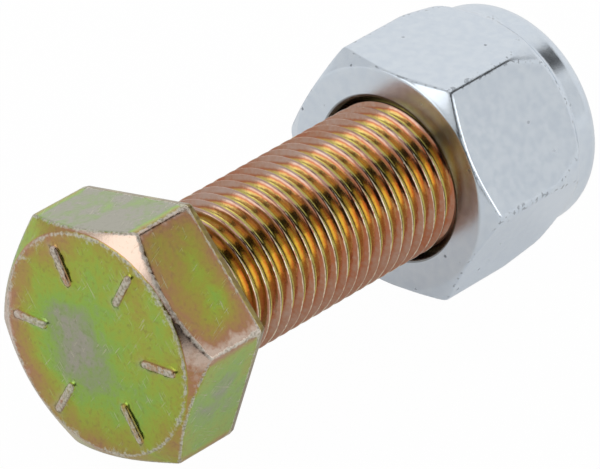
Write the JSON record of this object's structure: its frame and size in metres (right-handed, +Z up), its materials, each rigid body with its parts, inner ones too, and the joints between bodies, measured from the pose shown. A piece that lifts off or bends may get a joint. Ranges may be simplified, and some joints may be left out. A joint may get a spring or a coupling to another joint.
{
  "type": "blade bolt with lock nut",
  "caption": "Fully threaded hex-head steel bolt with a nylon-ring lock nut on its end, for clamping a blade to its holder.",
  "frame": {"origin": "centre of the bearing face under the bolt's head, on the bolt's axis", "axes": "+X along the bolt towards its tip, dipping by the rest tilt of 1.41 degrees; +Z up, away from the surface that it lies on"},
  "size_m": [0.0487, 0.0214, 0.0207],
  "materials": {
    "yellow_zinc": "yellow chromate zinc, iridescent",
    "clear_zinc": "clear blue-white zinc, satin",
    "nylon": "natural moulded nylon"
  },
  "bodies": {
    "bolt": {"hex_bolt": "yellow_zinc"},
    "lock_ring": {"nylon_ring": "nylon"},
    "nut": {"nut_body": "clear_zinc"}
  },
  "joints": [
    {"name": "nut_travel", "type": "slide", "parent": "bolt", "child": "lock_ring", "axis": [0.9997, 0, -0.0246], "range_m": [-0.02288, 0.01208]},
    {"name": "nut_turn", "type": "hinge", "parent": "lock_ring", "child": "nut", "pos_m": [0, 0, 0], "axis": [0.9997, 0, -0.0246], "range_deg": [-6480, 3420]}
  ],
  "couplings": [
    {"joint": "nut_travel", "follows": "nut_turn", "m_per_rad": 0.00020213}
  ]
}
